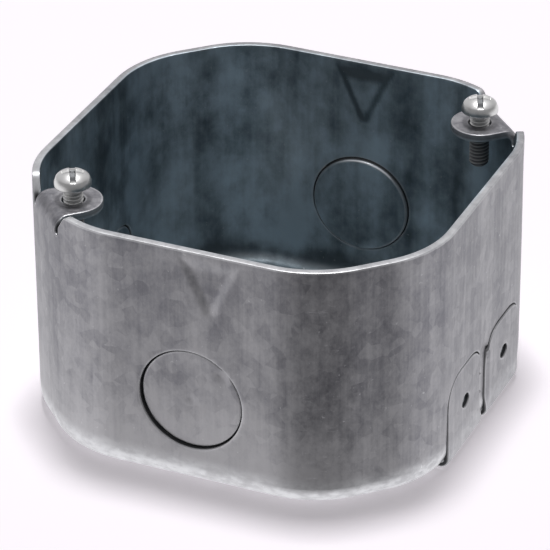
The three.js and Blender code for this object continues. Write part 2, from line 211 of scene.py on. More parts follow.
def press(blank, wall, rise, depth, bend):
    """How far the sheet is pushed inwards at each blank point."""
    height = rise - rise_of(0.0, bend)
    pushed = np.zeros(len(blank))
    for side, middle in DIMPLES:
        on_wall = (wall == (6 if side < 0 else 2)) & (height > bend)
        pushed += np.where(on_wall, DIMPLE_DEPTH * dimple_share(blank[:, 0], height, middle), 0)
    for x, y, lift in BOSSES:
        far = np.hypot(blank[:, 0] - x, blank[:, 1] - y)
        foot = 3.8 + 1.2 * depth / SHEET
        pushed += lift * smooth((foot - far) / 1.1) * (rise < 0)
    off_bar = np.abs(blank[:, 1] - PRYOUT_BAR * np.sign(blank[:, 0]))
    sunk = smooth((height - 1.5) / 4) * smooth((BAR_TOP - height) / 4)
    pushed += np.where((wall % 4 == 0) & (off_bar < BAR_HALF), BAR_DEPTH * sunk, 0)
    turn = np.arctan2(blank[:, 1], blank[:, 0])
    wave = np.sin(7 * turn + 0.09 * height) + np.sin(13 * turn + 1.3) * np.cos(0.11 * height)
    return pushed + WAVINESS * wave * smooth(rise / 8) * smooth((DEPTH - height) / 6)


print("bosses at", [boss[:2] for boss in BOSSES], "mm")

# %% [markdown]
# ## Forming
#
# One function turns blank points and a depth below the outer face into points in space. The
# depth runs from 0 on the outer face to the sheet's thickness on the inner one, so both faces
# and the cut edges come from the same formula. A Bend or Solidify modifier could do part of this,
# but it would not know the sheet's own corner radii.


# %% Form the blank
def formed(blank, depth, bend=BEND):
    """Floor where the rise is negative, then an arc of the bend radius, then a straight wall."""
    wall, foot, out, rise = stand(blank, bend)
    deep = depth + press(blank, wall, rise, depth, bend)
    turn = np.clip(rise / bend, 0, np.pi / 2)
    above = np.maximum(rise - bend * np.pi / 2, 0)
    reach = CORNER - bend + (bend - deep) * np.sin(turn)
    plan = np.where(rise[:, None] > 0, foot + out * reach[:, None], blank)
    height = bend - (bend - deep) * np.cos(turn) + above
    return np.column_stack([plan, height])


RIM_POINT = on_blank(0, np.zeros(1), np.full(1, rise_of(DEPTH)))
print("rim over a long wall, outer face:", formed(RIM_POINT, 0.0).round(2), "mm")

# %% [markdown]
# ## Laying the ears over
#
# Each ear is a tongue left on a short wall. It goes through a second bend near the rim, which
# lays it over towards the middle. It is bent with the same sheet, so the ear and the wall share
# their vertices and no joint shows between them.


# %% Form the ears
def formed_with_ears(blank, depth):
    """The formed blank, with what lies above the ear bend on the two ear walls laid over."""
    points = formed(blank, depth)
    wall, foot, out, rise = stand(blank, BEND)
    height = rise - rise_of(0.0)
    side = np.einsum("ij,ij->i", foot + out * CORNER, ALONG[wall])
    begin = EAR_TOP - EAR_BEND
    ear = np.isin(wall, EAR_WALLS) & (np.abs(side) < EAR_HALF + 0.7) & (height > begin - 2.5)
    settle = smooth((height - begin + 2.5) / 2.5)[:, None]
    inward = -(out * (1 - settle) + OUT[wall] * settle)
    turn = np.clip((height - begin) / EAR_BEND, 0, np.pi / 2)
    beyond = np.maximum(height - begin - EAR_BEND * np.pi / 2, 0)
    shift = EAR_BEND - (EAR_BEND - depth) * np.cos(turn) + beyond
    plan = foot + out * CORNER + inward * shift[:, None]
    level = np.where(height < begin, height, begin + (EAR_BEND - depth) * np.sin(turn))
    laid = np.column_stack([plan, level])
    return np.where(ear[:, None], laid, points)


EAR_POINT = on_blank(1, np.zeros(1), np.full(1, rise_of(DEPTH + 4)))
print("a point on an ear, outer face:", formed_with_ears(EAR_POINT, 0.0).round(2), "mm")

# %% [markdown]
# ## From blank to mesh
#
# A cut edge of punched sheet isn't sharp: the punch draws the outer corner down in a small
# radius. So each outline is kept as a function that can be moved in from the cut, and the edge is
# a short profile of distance and depth, carried along the outline. The flat face between the
# outlines is filled with triangles by a constrained Delaunay triangulation.


# %% Cut edges
def edge_profile(outer, inner):
    """Distance in from the cut and depth, round the outer corner, down the cut and round the
    inner corner; both ends lie the outer radius in."""
    turn = np.linspace(0, np.pi / 2, 4)
    first = np.column_stack([outer * (1 - np.sin(turn)), outer * (1 - np.cos(turn))])
    second = np.column_stack([inner * (1 - np.cos(turn)), SHEET - inner * (1 - np.sin(turn))])
    return np.vstack([first, second, [[outer, SHEET]]])


SHEARED = edge_profile(0.2, 0.12)
print("steps round a cut edge:", len(SHEARED))

# %% [markdown]
# Outlines are worked out from three simple things: points evenly round a circle, the normals of a
# path, which say which way to move it, and a walk along a path that spaces its points evenly.


# %% Circles and paths
def unit_ring(count, direction=1):
    """Points evenly round a circle of radius 1: anticlockwise, or clockwise for -1."""
    turn = direction * np.arange(count) * 2 * np.pi / count
    return np.column_stack([np.cos(turn), np.sin(turn)])


def ring_grid(radii, count):
    """Points evenly round circles of these radii about one centre."""
    return (radii[:, None, None] * unit_ring(count)).reshape(-1, 2)


def round_hole(x, y, radius, count):
    """A round hole in the blank; moved in means a larger circle."""
    ring = unit_ring(count, -1)
    return lambda inset: np.array([x, y]) + ring * (radius + inset)


def path_normals(path, closed):
    """Unit vectors to the left of a path, from the points on either side of each point."""
    if closed:
        step = np.roll(path, -1, 0) - np.roll(path, 1, 0)
    else:
        step = np.gradient(path, axis=0)
    step = step / np.linalg.norm(step, axis=1)[:, None]
    return np.column_stack([-step[:, 1], step[:, 0]])


def walk(path, gap):
    """The same path with its points evenly spaced, about this gap apart."""
    step = np.linalg.norm(np.diff(path, axis=0), axis=1)
    far = np.concatenate([[0], np.cumsum(step)])
    count = max(int(round(far[-1] / gap)), 2)
    at = np.linspace(0, far[-1], count + 1)
    return np.column_stack([np.interp(at, far, path[:, 0]), np.interp(at, far, path[:, 1])])


def rounded(corners, radii):
    """A polygon with its corners rounded: each corner is a quadratic curve that leaves and meets
    the sides at its radius from the corner."""
    corners = np.array(corners, float)
    before = np.roll(corners, 1, 0) - corners
    after = np.roll(corners, -1, 0) - corners
    radii = np.array(radii, float)[:, None]
    start = corners + before / np.linalg.norm(before, axis=1)[:, None] * radii
    end = corners + after / np.linalg.norm(after, axis=1)[:, None] * radii
    share = np.linspace(0, 1, 9)[None, :, None]
    curve = (1 - share) ** 2 * start[:, None] + 2 * share * (1 - share) * corners[:, None]
    curve = curve + share**2 * end[:, None]
    return curve.reshape(-1, 2)


print("a 10 mm circle in 1 mm steps:", len(walk(unit_ring(90) * 5, 1.0)), "points")

# %% [markdown]
# ## Inside and outside
#
# Filling a face needs two measures: how far a point is from the nearest cut, and whether it lies
# inside an outline. A loop over the points would be slow, so each is one sum over all the pairs.


# %% Distance and inside tests
def nearest(points, marks):
    """Distance from each point to the nearest mark, some thousand points at a time."""
    parts = np.array_split(points, max(len(points) // 3000, 1))
    return np.concatenate(
        [np.sqrt(((p[:, None] - marks[None]) ** 2).sum(2)).min(1) for p in parts])


def enclosed(points, outline):
    """Even-odd rule: which points lie inside a closed outline."""
    ahead = np.roll(outline, -1, 0)
    found = np.zeros(len(points), bool)
    low, high = outline.min(0), outline.max(0)
    likely = ((points >= low) & (points <= high)).all(1)
    parts = np.array_split(points[likely], max(likely.sum() // 3000, 1))
    odd = []
    for part in parts:
        x, y = part[:, :1], part[:, 1:]
        spans = (outline[:, 1] > y) != (ahead[:, 1] > y)
        slope = (ahead[:, 0] - outline[:, 0]) / (ahead[:, 1] - outline[:, 1] + 1e-12)
        odd.append((spans & (x < outline[:, 0] + (y - outline[:, 1]) * slope)).sum(1) % 2 == 1)
    found[likely] = np.concatenate(odd)
    return found


print("the middle is inside a circle:", enclosed(np.zeros((1, 2)), unit_ring(12)))

# %% [markdown]
# ## Filling a face
#
# A face full of holes could be filled by hand with quads, but a triangulation takes any mix of
# windows. The fill points keep away from the outlines, so that no sliver forms at a cut. Creases
# are lines that the triangles have to keep, as along the walls of a screw's recess.


# %% Fill a blank with triangles
def fill_blank(rings, fill, creases=()):
    """Triangles between the rings, through the fill points and along the creases. The rings are
    rounded to single precision first, as the triangulation itself does."""
    rings = [ring.astype(np.float32).astype(float) for ring in rings]
    keep = enclosed(fill, rings[0]) & (nearest(fill, np.vstack(rings)) > 0.3)
    for ring in rings[1:]:
        keep &= ~enclosed(fill, ring)
    lines = [*rings, *creases]
    points = np.vstack([*lines, fill[keep]])
    first = np.cumsum([0] + [len(line) for line in lines])
    edges = []
    for at, line in zip(first, rings):
        index = at + np.arange(len(line))
        edges.append(np.column_stack([index, np.roll(index, -1)]))
    for at, line in zip(first[len(rings):], creases):
        index = at + np.arange(len(line))
        edges.append(np.column_stack([index[:-1], index[1:]]))
    found = geometry.delaunay_2d_cdt(points.tolist(), np.vstack(edges).tolist(), [], 0, 1e-7)
    flat = np.array(found[0])
    triangles = np.array(found[2])
    middle = flat[triangles].mean(1)
    inside = enclosed(middle, rings[0])
    for ring in rings[1:]:
        inside &= ~enclosed(middle, ring)
    return flat, triangles[inside], first[: len(rings) + 1]


TEST_DISC = fill_blank([unit_ring(24) * 5], ring_grid(np.array([1.5, 3.0]), 12))
print("a test disc has", len(TEST_DISC[1]), "triangles")

# %% [markdown]
# ## Giving the sheet its thickness
#
# A Solidify modifier would push every face out by the same amount and leave square cuts. Here the
# fill is used twice, for the outer and the inner face, and the edge profile closes the gap along
# every outline. The result is one closed body, with its depth known at every vertex.


# %% Thicken a blank
def sheet_body(loops, fill, shape, profile, creases=()):
    """Vertices and faces of a sheet: the filled blank on its outer and inner face, and the edge
    profile carried along every outline. Also each vertex's depth and distance from a cut."""
    outer_inset, thick = profile[0, 0], profile[-1, 1]
    rings = [loop(outer_inset) for loop in loops]
    flat, triangles, first = fill_blank(rings, fill, creases)
    count = len(flat)
    cuts = np.vstack([loop(0.0) for loop in loops])
    clear = np.minimum(nearest(flat, cuts), 9.0)
    points = [shape(flat, 0.0), shape(flat, thick)]
    depths = [np.zeros(count), np.full(count, thick)]
    clears = [clear, clear]
    faces = [triangles[:, ::-1], triangles + count]
    base = 2 * count
    for loop, start, stop in zip(loops, first[:-1], first[1:]):
        size = stop - start
        ring = np.arange(size)
        levels = [start + ring]
        for inset, deep in profile[1:-1]:
            points.append(shape(loop(inset), deep))
            depths.append(np.full(size, deep))
            clears.append(np.full(size, inset))
            levels.append(base + ring)
            base += size
        levels.append(count + start + ring)
        for low, high in zip(levels[:-1], levels[1:]):
            ahead_low, ahead_high = np.roll(low, -1), np.roll(high, -1)
            faces.append(np.column_stack([low, ahead_low, ahead_high]))
            faces.append(np.column_stack([low, ahead_high, high]))
    return np.vstack(points), np.vstack(faces), np.concatenate(depths), np.concatenate(clears)


print("bands of faces on a cut edge:", len(SHEARED) - 1)

# %% [markdown]
# ## Making the object
#
# Every piece goes through one function that turns arrays into a mesh in metres, closes doubles,
# makes the faces point outwards, rides it on its body and hides the plain node it stands for.
# Attributes go with it: how deep in the sheet a vertex lies, how near a cut it is, and on the
# shell which vertices lie on the dimple flanks. The finishes read them to tell the inner face from
# the outer one, to burnish the edges and to paint shade and highlights.


# %% Mesh from arrays
def add_piece(name, points, faces, body, node, finish, attributes):
    """A smooth mesh object at the origin, riding on its body in place of its plain node."""
    mesh = bpy.data.meshes.new(name)
    mesh.from_pydata((points * MM).tolist(), [], faces.tolist())
    for key, values in attributes.items():
        layer = mesh.attributes.new(key, "FLOAT", "POINT")
        layer.data.foreach_set("value", np.asarray(values, np.float32))
    work = bmesh.new()
    work.from_mesh(mesh)
    bmesh.ops.remove_doubles(work, verts=work.verts, dist=1e-7)
    bmesh.ops.recalc_face_normals(work, faces=work.faces)
    if work.calc_volume(signed=True) < 0:
        bmesh.ops.reverse_faces(work, faces=work.faces)
    open_edges = sum(not e.is_manifold for e in work.edges)
    volume = work.calc_volume(signed=True) / MM**3
    work.to_mesh(mesh)
    work.free()
    mesh.shade_smooth()
    piece = bpy.data.objects.new(name, mesh)
    bpy.context.scene.collection.objects.link(piece)
    mesh.materials.append(finish)
    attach(piece, body)
    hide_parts(node)
    print(f"{name}: {len(mesh.polygons)} faces, {volume:.0f} mm3, {open_edges} open edges")


# %% [markdown]
# ## Finishes
#
# Shader arithmetic reads best as arithmetic. A small class wraps a node's output, so that
# `1 - mask` or `a * 0.3 + b` adds the Math nodes for it. Every other node comes from one method
# that sets the node's options first and its sockets after.


# %% Shader arithmetic
class Value:
    """A node's output that takes part in sums, products and limits."""

    def __init__(self, owner, socket):
        self.owner = owner
        self.socket = socket

    def math(self, operation, other=None, swap=False):
        """Any operation of a Math node on this value and, if given, another."""
        pair = [self] if other is None else [self, other]
        if swap:
            pair.reverse()
        return self.owner.node(
            "ShaderNodeMath", {"operation": operation}, dict(enumerate(pair)))

    def __add__(self, other):
        return self.math("ADD", other)

    __radd__ = __add__

    def __mul__(self, other):
        return self.math("MULTIPLY", other)

    __rmul__ = __mul__

    def __sub__(self, other):
        return self.math("SUBTRACT", other)

    def __rsub__(self, other):
        return self.math("SUBTRACT", other, swap=True)

    def ramp(self, low, high):
        """Zero at low, one at high, smooth between, and held outside."""
        return self.owner.node(
            "ShaderNodeMapRange", {"interpolation_type": "SMOOTHSTEP"},
            {"Value": self, "From Min": low, "From Max": high})


print("a value knows + - *, a ramp and the other operations of a Math node")

# %% [markdown]
# Both a material and the studio's surround are trees of nodes, so the method that makes a node
# stands in a class of its own, and a finish adds the patterns that sheet metal needs.


# %% Node trees and finishes
class Nodes:
    """A node tree with one method for every kind of node."""

    def __init__(self, tree):
        self.tree = tree

    def node(self, kind, settings, sockets, output=0):
        """Makes a node, sets its options, fills its sockets and returns one output."""
        made = self.tree.nodes.new(kind)
        for key, value in settings.items():
            setattr(made, key, value)
        self.feed(made, sockets)
        return Value(self, made.outputs[output])

    def feed(self, made, sockets):
        """Links a value to a socket, or writes a constant into it."""
        for key, value in sockets.items():
            if isinstance(value, Value):
                self.tree.links.new(value.socket, made.inputs[key])
            else:
                made.inputs[key].default_value = value


class Finish(Nodes):
    """A procedural finish: a material with one shader that reads Object coordinates."""

    def __init__(self, name, metallic=1.0):
        self.material = bpy.data.materials.new(name)
        self.material.use_nodes = True
        super().__init__(self.material.node_tree)
        self.tree.nodes.clear()
        output = self.tree.nodes.new("ShaderNodeOutputMaterial")
        self.shader = self.tree.nodes.new("ShaderNodeBsdfPrincipled")
        self.tree.links.new(self.shader.outputs[0], output.inputs[0])
        self.shader.inputs["Metallic"].default_value = metallic
        self.place = self.node("ShaderNodeTexCoord", {}, {}, "Object")

    def stretched(self, scale, offset=0.0):
        """Object coordinates in millimetres, multiplied along each axis and moved."""
        return self.node("ShaderNodeMapping", {"vector_type": "POINT"},
                         {"Vector": self.place, "Scale": [s / MM for s in scale],
                          "Location": (offset, 1.7 * offset, 2.3 * offset)})

    def noise(self, scale, detail=3.0, rough=0.55, offset=0.0):
        """Cloudy noise from 0 to 1, with so many features to the millimetre on each axis."""
        return self.node("ShaderNodeTexNoise", {"noise_dimensions": "3D"},
                         {"Vector": self.stretched(scale, offset), "Scale": 1.0,
                          "Detail": detail, "Roughness": rough})

    def cells(self, size):
        """Spangle: irregular cells of about this size, each with a value of its own."""
        cell = self.node("ShaderNodeTexVoronoi", {"feature": "F1"},
                         {"Vector": self.stretched((1 / size,) * 3), "Scale": 1.0}, "Color")
        return self.node("ShaderNodeSeparateColor", {}, {"Color": cell})

    def attribute(self, name):
        """A number stored at every vertex of the piece."""
        return self.node("ShaderNodeAttribute", {"attribute_name": name}, {}, "Fac")

    def axis(self, name):
        """One Object coordinate, in millimetres."""
        split = self.node("ShaderNodeSeparateXYZ", {}, {"Vector": self.place}, name)
        return split * (1 / MM)

    def tint(self, factor, first, second):
        """A colour between two, by a factor."""
        return self.node("ShaderNodeMix", {"data_type": "RGBA"},
                         {0: factor, 6: first, 7: second}, 2)

    def bump(self, height, strength, distance):
        """Turns a height pattern into tilted normals; distance is in millimetres."""
        return self.node("ShaderNodeBump", {},
                         {"Height": height, "Strength": strength, "Distance": distance * MM})


print("patterns of a finish: noise, cells, attribute and axis")

# %% [markdown]
# ## Zinc-coated sheet
#
# Hot-dipped sheet has crystals of zinc, the spangle, that drawing rubs into a soft mottle. The
# die pulls upright streaks into the walls, handling adds short scratches, and the cut edges are
# burnished bright. The foot has scuffs and a painted highlight where its bend would mirror the
# floor, the rim a painted highlight towards the front and the dimple flanks one of their own. The
# walls are painted lighter towards the foot, the cut faces are painted in shade, and the inside
# is painted in darker, bluer shade.


# %% Zinc sheet finish
def grey(level, blue=0.0):
    """A near-neutral metal colour, cooler for more blue."""
    return (level * (1 - blue), level, level * (1 + blue), 1.0)


# Colours of the painted shade over the inner face, darker and bluer than the outer coat.
INNER_SHADE_DARK = (0.12, 0.155, 0.175, 1)
INNER_SHADE_LIGHT = (0.62, 0.75, 0.83, 1)


def zinc_sheet(name, light, dark, upright=True, foot_scuff_and_sheen=0.9, inner_wear=0.35):
    """Mottle, spangle, draw streaks, scratches and burnished cuts; a scuffed foot with a painted
    highlight, painted highlights on the front rim and dimple flanks, painted light low on the walls,
    painted shade in the cut faces and a darker, bluer painted shade inside.
    """
    made = Finish(name)
    high = made.axis("Z")
    cloud = made.noise((0.06, 0.06, 0.05), 3)
    mottle = made.noise((0.3, 0.3, 0.22), 5, 0.68, 3.1)
    grain = made.noise((1.3, 1.3, 1.0), 3, 0.6, 4.4)
    spangle = made.cells(2.6)
    across = 0.8 if upright else 0.35
    streak = made.noise((across, across, 0.03), 3, 0.6, 7.7)
    broad = made.noise((0.12, 0.12, 0.006), 2, 0.5, 1.9)
    scratch = made.noise((0.25, 0.25, 3.5), 2, 0.7, 5.3).ramp(0.66, 0.74)
    nick = made.noise((1.1, 1.1, 1.1), 2, 0.5, 9.2).ramp(0.7, 0.78)
    tone = cloud * 0.5 + mottle * 0.75 + spangle * 0.14 + streak * 0.4 + broad * 0.4 + grain * 0.3
    # Painted light: the walls are lighter towards the foot, short of the +X wall, as if the floor
    # lit them, and a little darker towards the top.
    low = (1 - high.ramp(3.0, 27.0)) * (1 - made.axis("X").ramp(25.0, 42.0)) * 0.28
    body = made.tint((tone + low - high * 0.002 - 0.7).ramp(0.0, 0.95), dark, light)
    deep = made.attribute("deep")
    cut = 1 - made.attribute("clear").ramp(0.05, 0.6)
    flank_mask = made.attribute("flank_mask")
    inside = deep.ramp(0.5, 1.1)
    # Painted shade over the whole inner face, broken by random stains; it is painted darker still on
    # the dimple flanks and near the floor of the box, below about 9 mm.
    stain_and_painted_shade = cloud * 1.2 + mottle * 0.5 + streak * 0.15 + broad * 0.7
    stain_and_painted_shade = stain_and_painted_shade - flank_mask * 0.35 - (1 - high.ramp(2.0, 9.0)) * 0.4 - 0.9
    painted_inner_shade = made.tint(stain_and_painted_shade.ramp(0.0, 0.7), INNER_SHADE_DARK, INNER_SHADE_LIGHT)
    shade = made.tint(inside, body, painted_inner_shade)
    # The foot: scuff wear with a painted highlight over it, the bright band where the bottom bend
    # would mirror the floor; weaker at the very bottom edge and none on the inner face.
    scuff = made.noise((0.35, 0.35, 0.6), 4, 0.65, 6.1).ramp(0.35, 0.65)
    foot = (1 - high.ramp(3.4, 7.5)) * (0.3 + high.ramp(0.1, 1.5) * 0.7)
    foot = foot * (0.5 + scuff * 0.5) * (1 - inside)
    rim = high.ramp(49.8, 52.0)
    # Painted highlight: the cut edge of the rim is brightened more towards the front of the box than
    # at the back.
    front = 1 - made.axis("Y").ramp(-30.0, 20.0) * 0.6
    inner = 0.35 + deep.ramp(0.6, 0.85) * (inner_wear - 0.35)
    edge = cut * (rim * front * (0.4 + mottle * 0.8) + (1 - rim) * inner)
    # Painted highlight on the outer face of the dimple flanks.
    pressed = flank_mask * (1 - inside) * 0.08
    # Real wear on the cut edges and nicks, mixed with the painted highlights on the foot, the front
    # rim and the dimple flanks; all of it turns the colour towards bright grey and smooths it.
    wear_and_painted_sheen = (edge * 0.8 + foot * foot_scuff_and_sheen + pressed + nick * 0.3).math("MINIMUM", 1.0)
    bright = made.tint(wear_and_painted_sheen, shade, grey(0.86, 0.01))
    # Painted shade: the middle of every cut face below the rim, down in the gaps round the slugs and
    # tabs, is darkened to near black and made rougher.
    painted_crevice_shade = cut * deep.ramp(0.12, 0.3) * (1 - deep.ramp(0.55, 0.75)) * (1 - rim)
    colour = made.tint(painted_crevice_shade * 0.85, bright, grey(0.03, 0.1))
    rough = 0.46 + (mottle - 0.5) * 0.35 + (grain - 0.5) * 0.15 + painted_crevice_shade * 0.3 - wear_and_painted_sheen * 0.12
    height = mottle * 0.6 + streak * 0.4 + grain * 0.25 + spangle * 0.1
    height = height - scratch * 0.35 - nick * 0.5
    made.feed(made.shader, {
        "Base Color": colour, "Roughness": rough, "Normal": made.bump(height, 0.6, 0.06)})
    return made.material


ZINC_LIGHT = (0.53, 0.524, 0.535, 1)
ZINC_DARK = (0.18, 0.18, 0.2, 1)
SHELL_ZINC = zinc_sheet("drawn zinc sheet", ZINC_LIGHT, ZINC_DARK)
PUNCHED_ZINC = zinc_sheet("punched zinc sheet", ZINC_LIGHT, ZINC_DARK, True, 0.25, 1.0)
CLAMP_ZINC = zinc_sheet("pressed clamp sheet", grey(0.6, 0.01), grey(0.32, 0.01), False, 0.0)
print("sheet finishes:", SHELL_ZINC.name, PUNCHED_ZINC.name, CLAMP_ZINC.name)

# %% [markdown]
# ## Bright screw plating
#
# The screws are electroplated: brighter and smoother than the sheet, with fine turning marks
# round the shank and a soft cloud over the head. Shade is painted in the recess, under the head,
# between the threads and down the lower shank.


# %% Screw finish
def bright_plate():
    """Bright zinc plate with fine cloud and turning marks, and painted shade, rougher, in the recess
    and threads.
    """
    made = Finish("bright screw plate")
    cloud = made.noise((0.5, 0.5, 0.5), 4)
    turning = made.noise((0.4, 0.4, 6.0), 2, 0.5, 2.2)
    # Painted shade, read from the piece's depth attribute: the recess, the underside of the head and
    # the thread valleys go dark grey and rougher.
    recess = made.attribute("deep").ramp(0.05, 0.9)
    body = made.tint(cloud, grey(0.62), (0.86, 0.86, 0.83, 1.0))
    colour = made.tint(recess, body, grey(0.16, 0.03))
    rough = 0.24 + cloud * 0.16 + turning * 0.06 + recess * 0.25
    height = cloud * 0.4 + turning * 0.3
    made.feed(made.shader, {
        "Base Color": colour, "Roughness": rough, "Normal": made.bump(height, 0.35, 0.02)})
    return made.material


SCREW_PLATE = bright_plate()
print("screw finish:", SCREW_PLATE.name)

# %% [markdown]
# ## The outlines of the shell
#
# The rim runs round all eight walls. On the two ear walls it drops into a slit, climbs the side
# of the tongue, goes round its tip and comes down the other side. It is drawn as distances along
# the wall and heights, where it is simple, and carried onto the blank afterwards.

# %% Rim and ear outline
SLIT = 1.5
FLARE = 2.6
SLIT_FOOT = EAR_TOP - EAR_BEND - 0.6
TIP_HEIGHT = EAR_TOP - EAR_BEND + EAR_BEND * math.pi / 2 + EAR_REACH - EAR_BEND - EAR_SCREW_REACH
ARC_HALF = CORNER * math.pi / 8


def ear_path():
    """Along and height of the rim over an ear wall, from one corner to the next."""
    end = FLAT_HALF[1] + ARC_HALF
    outer, edge = EAR_HALF + SLIT, EAR_HALF
    tip = np.linspace(0, np.pi, 25)
    side = np.array(rounded(
        [(end, DEPTH), (outer + FLARE, DEPTH), (outer, EAR_TOP - SHEET), (outer, SLIT_FOOT),
         (edge, SLIT_FOOT), (edge, TIP_HEIGHT)], [0.01, 0.9, 0.5, 0.72, 0.72, 0.01]))
    arc = np.column_stack([EAR_HALF * np.cos(tip), TIP_HEIGHT + EAR_HALF * np.sin(tip)])
    left = side * [-1, 1]
    return walk(np.vstack([left[4:-6], arc[::-1][1:-1], side[::-1][6:-4]]), 0.5)


def rim_loop():
    """The whole rim as walls, distances along, rises and the direction into the metal."""
    walls, along, rise, normal = [], [], [], []
    for wall in range(8):
        end = FLAT_HALF[wall] + ARC_HALF
        if wall in EAR_WALLS:
            path = ear_path()
        else:
            path = walk(np.array([[-end, DEPTH], [end, DEPTH]]), 0.9)
        walls.append(np.full(len(path) - 1, wall))
        along.append(path[:-1, 0])
        rise.append(rise_of(path[:-1, 1]))
        normal.append(-path_normals(path, False)[:-1])
    walls, along, rise = map(np.concatenate, (walls, along, rise))
    normal = np.vstack(normal)
    return lambda inset: on_blank(
        walls, along + normal[:, 0] * inset, rise + normal[:, 1] * inset)


print("points of the rim over one ear wall:", len(ear_path()))

# %% [markdown]
# ## Windows in the walls
#
# The windows for the knockouts are circles, and those for the pry-outs are arched and reach over
# the bend into the floor. A window and its tab come from the same outline, narrowed by a gap.

# %% Windows
KNOCKOUT = 11.2
KNOCKOUT_HEIGHT = 20.0
PRYOUT_WIDTH = 19.2
PRYOUT_TOP = 19.8
PRYOUT_CENTRES = (-9.9, 11.5)
PRYOUT_CORNER = 7.0
PRYOUT_FLOOR = 3.5


def wall_loop(wall, path):
    """A closed clockwise path of along and rise on one wall; moved in means away from it."""
    outward = path_normals(path, True)
    return lambda inset: on_blank(wall, *(path + outward * inset).T)


def wall_circle(wall, along, height, radius, count):
    """A round window in a wall."""
    path = np.array([along, rise_of(height)]) + radius * unit_ring(count, -1)
    return wall_loop(wall, path)


def pryout_path(middle, gap, bend):
    """A pry-out's outline, narrowed by the gap all round: straight over the bend, arched top."""
    half = PRYOUT_WIDTH / 2 - gap
    low = gap - PRYOUT_FLOOR - (BEND - bend)
    high = rise_of(PRYOUT_TOP - gap, bend)
    corners = [(middle - half, low), (middle - half, high), (middle + half, high),
               (middle + half, low)]
    path = rounded(corners, [0.8, PRYOUT_CORNER - gap, PRYOUT_CORNER - gap, 0.8])
    return walk(np.vstack([path, path[:1]]), 0.6)[:-1]


print("points of one pry-out window:", len(pryout_path(0.0, 0.0, BEND)))

# %% [markdown]
# ## The drawn shell
#
# The fill points decide how well the sheet bends. They follow the walls in rows, closer together
# over the bend, and get finer round the bosses, the dimples and on the ear tongues.


# %% Fill points of the shell
def wall_rows():
    """Rows of points round every wall, from the start of the bend to the rim."""
    rises = np.concatenate([np.arange(0.0, rise_of(BEND), 0.78),
                            np.arange(rise_of(BEND), rise_of(DEPTH), 1.15)])
    parts = []
    for wall in range(8):
        end = FLAT_HALF[wall] + ARC_HALF
        along = np.linspace(-end, end, int(2 * end / 1.15), endpoint=False) + 0.2
        grid_along, grid_rise = np.meshgrid(along, rises)
        parts.append(on_blank(wall, grid_along.ravel(), grid_rise.ravel()))
    return np.vstack(parts)


def patch(wall, along, height, step):
    """A fine square grid on one wall."""
    a, h = np.meshgrid(np.arange(*along, step), np.arange(*height, step))
    return on_blank(wall, a.ravel(), rise_of(h.ravel()))


def floor_grid():
    """A square grid over the flat floor."""
    x, y = np.meshgrid(np.arange(-46, 46, 1.25), np.arange(-46, 46, 1.25))
    grid = np.column_stack([x.ravel(), y.ravel()])
    return grid[stand(grid, BEND)[3] < -0.6]


def boss_rings():
    """Close circles over the flank of every boss."""
    rings = ring_grid(np.linspace(2.75, 5.6, 12), 48)
    return np.vstack([np.array([x, y]) + rings for x, y, _ in BOSSES])


def shell_fill():
    """Coarse points away from the fine patches, and the patches themselves."""
    dimples = np.vstack([patch(6, (-4.0, 12.8), (38.6, 52.9), 0.5),
                         patch(2, (-8.8, 7.6), (38.6, 52.9), 0.5)])
    ears = np.vstack([patch(w, (-5.4, 5.5), (SLIT_FOOT, TIP_HEIGHT + 5.6), 0.6)
                      for w in EAR_WALLS])
    fine = np.vstack([dimples, ears, boss_rings()])
    coarse = np.vstack([wall_rows(), floor_grid()])
    coarse = coarse[nearest(coarse, fine) > 0.75]
    return np.vstack([coarse, fine])


SHELL_FILL = shell_fill()
print("fill points:", len(SHELL_FILL))

# %% [markdown]
# With its outline, windows and fill points, the shell is one call. The holes in the bosses take
# the clamp and ground screws, and two more in the flat of the floor fix the box to a support.

# %% Make the shell
FLOOR_KNOCKOUTS = (-25.4, 0.0, 25.4)
holes = [wall_circle(w, 0.0, KNOCKOUT_HEIGHT, KNOCKOUT, 96) for w in (2, 6)]
holes += [round_hole(0.0, y, KNOCKOUT, 96) for y in FLOOR_KNOCKOUTS]
holes += [round_hole(x, y, 2.4, 32) for x, y, _ in BOSSES]
holes += [round_hole(s * 15.5, -s * 12.7, 2.6, 32) for s in (1, -1)]
holes += [wall_loop(w, pryout_path(c, 0.0, BEND)) for w in (0, 4) for c in PRYOUT_CENTRES]
holes += [wall_circle(w, 0.0, TIP_HEIGHT, 2.4, 32) for w in EAR_WALLS]
shell = sheet_body([rim_loop(), *holes], SHELL_FILL, formed_with_ears, SHEARED)
add_piece("drawn_shell", shell[0], shell[1], "box", "box_shell", SHELL_ZINC,
          {"deep": shell[2] / SHEET, "clear": shell[3], "flank_mask": dimple_flank(shell[0])})

# %% [markdown]
# ## Knockout slugs
#
# A knockout is punched almost free and pushed back, so it stands a little in from the wall and
# hangs on a narrow tie. Each slug is a round blank with softened edges, dished very slightly, and
# tipped about its tie so that the shadow line round it is wide on one side and closes on the
# other.


# %% Slug blanks
def slug_fill(radius):
    """Rings of points closing towards the rim."""
    radii = np.concatenate([np.linspace(0.6, radius - 1.7, 9), [radius - 1.1]])
    return np.vstack([ring_grid(radii, 60), [[0.0, 0.0]]])


TORN = np.array([[0.5, 0.0], [0.18, 0.03], [0.05, 0.1], [0.0, 0.22], [0.0, 0.35], [-0.27, 0.5],
                 [-0.27, 0.8], [0.0, 0.95], [0.0, 1.15], [0.05, 1.31], [0.15, 1.45], [0.3, 1.55],
                 [0.5, SHEET]])
SLUG_SPREAD = 0.1
TIE_REACH = 0.28
TIE_WIDTH = 0.12


